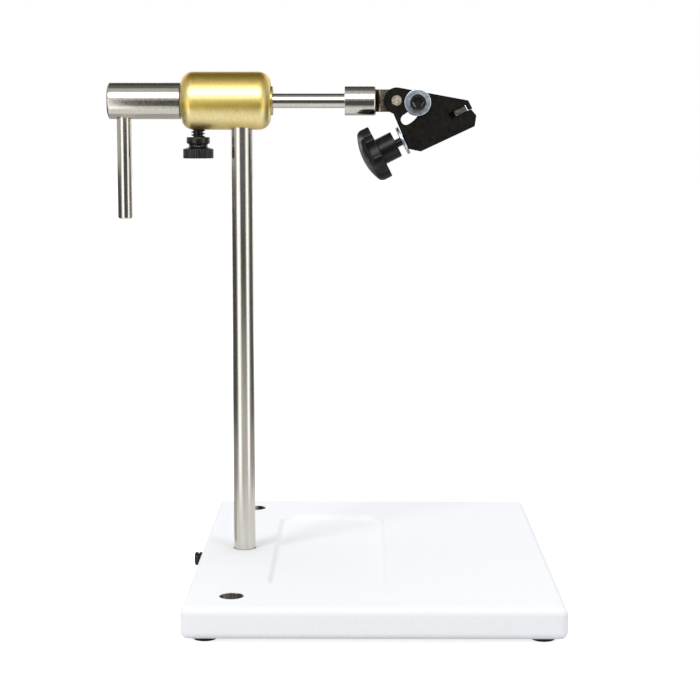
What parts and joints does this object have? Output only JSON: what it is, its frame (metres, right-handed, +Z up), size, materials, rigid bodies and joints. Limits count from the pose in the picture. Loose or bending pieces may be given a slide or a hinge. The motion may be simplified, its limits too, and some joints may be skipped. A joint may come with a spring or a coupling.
{
  "type": "fly tying vise",
  "caption": "Rotary fly tying vise: a pedestal base with tray and sockets carries a stem, a brass rotary housing with crank and drag screw, and a tilting jaw head closed by a lobed knob.",
  "frame": {"origin": "middle of the overall outline in X and Y, on the surface that the feet stand on", "axes": "+X along the arm from the crank to the jaw, +Y away from the tyer, +Z up along the stem"},
  "size_m": [0.1912, 0.2032, 0.2251],
  "materials": {
    "powder_coat": "fine textured white powder coat",
    "foot_rubber": "matt moulded rubber",
    "black_screw": "black oxide screw finish",
    "black_plate": "black oxide plate, slightly worn at its edges",
    "stainless": "turned stainless steel",
    "brass_barrel": "turned brushed brass",
    "bronze": "plain bronze",
    "zinc": "zinc plated",
    "nylon": "natural nylon",
    "knob_plastic": "black moulded plastic",
    "bar_steel": "ground bright steel"
  },
  "bodies": {
    "base": {"base_plate": "powder_coat", "rubber_feet": "foot_rubber", "base_clamp_shoe": "bronze"},
    "base_screw": {"base_clamp_screw": "black_screw"},
    "column": {"stem": "stainless", "rotary_housing": "brass_barrel", "stem_set_screw": "black_screw", "front_bushing": "bronze", "rear_bushing": "bronze"},
    "drag_pad": {"drag_pad": "nylon"},
    "drag_screw": {"drag_screw": "black_screw"},
    "rotor": {"spindle_shaft": "stainless", "retaining_ring": "black_screw", "crank_hub": "stainless", "hub_set_screw": "black_screw", "crank_handle": "stainless", "head_yoke": "stainless", "angle_washers": "zinc", "angle_nut": "zinc"},
    "angle_screw": {"angle_screw": "black_screw"},
    "head": {"near_cheek": "black_plate", "far_cheek": "black_plate", "pivot_pin": "stainless", "clamp_block": "black_plate", "cheek_rivets": "black_plate", "clamp_washer": "zinc"},
    "push_bar": {"push_bar": "bar_steel"},
    "clamp_knob": {"clamp_knob": "knob_plastic", "clamp_stud": "black_screw"}
  },
  "joints": [
    {"name": "stem_swivel", "type": "hinge", "parent": "base", "child": "column", "pos_m": [-0.03778, 0, 0.0018], "axis": [0, 0, 1], "continuous": true},
    {"name": "base_screw_turn", "type": "hinge", "parent": "base", "child": "base_screw", "pos_m": [-0.05683, 0, 0.0093], "axis": [-1, 0, 0], "range_deg": [0, 180]},
    {"name": "rotary_turn", "type": "hinge", "parent": "column", "child": "rotor", "pos_m": [-0.03778, 0, 0.2126], "axis": [1, 0, 0], "continuous": true},
    {"name": "drag_screw_travel", "type": "slide", "parent": "column", "child": "drag_pad", "axis": [0, 0, -1], "range_m": [0, 0.00191]},
    {"name": "drag_screw_turn", "type": "hinge", "parent": "drag_pad", "child": "drag_screw", "pos_m": [-0.05677, 0, 0.1926], "axis": [0, 0, -1], "range_deg": [0, 540]},
    {"name": "head_tilt", "type": "hinge", "parent": "rotor", "child": "head", "pos_m": [0.02942, 0, 0.2126], "axis": [0, -1, 0], "range_deg": [0, 58]},
    {"name": "angle_screw_turn", "type": "hinge", "parent": "rotor", "child": "angle_screw", "pos_m": [0.03849, 0, 0.21177], "axis": [0, -1, 0], "range_deg": [0, 180]},
    {"name": "clamp_travel", "type": "slide", "parent": "head", "child": "push_bar", "axis": [0.891, 0, 0.454], "range_m": [-0.00159, 0.00086]},
    {"name": "clamp_knob_turn", "type": "hinge", "parent": "push_bar", "child": "clamp_knob", "pos_m": [0.03693, 0, 0.19787], "axis": [0.891, 0, 0.454], "range_deg": [-720, 390]}
  ],
  "couplings": [
    {"joint": "drag_screw_travel", "follows": "drag_screw_turn", "m_per_rad": 0.00020213},
    {"joint": "clamp_travel", "follows": "clamp_knob_turn", "m_per_rad": 0.00012633}
  ]
}
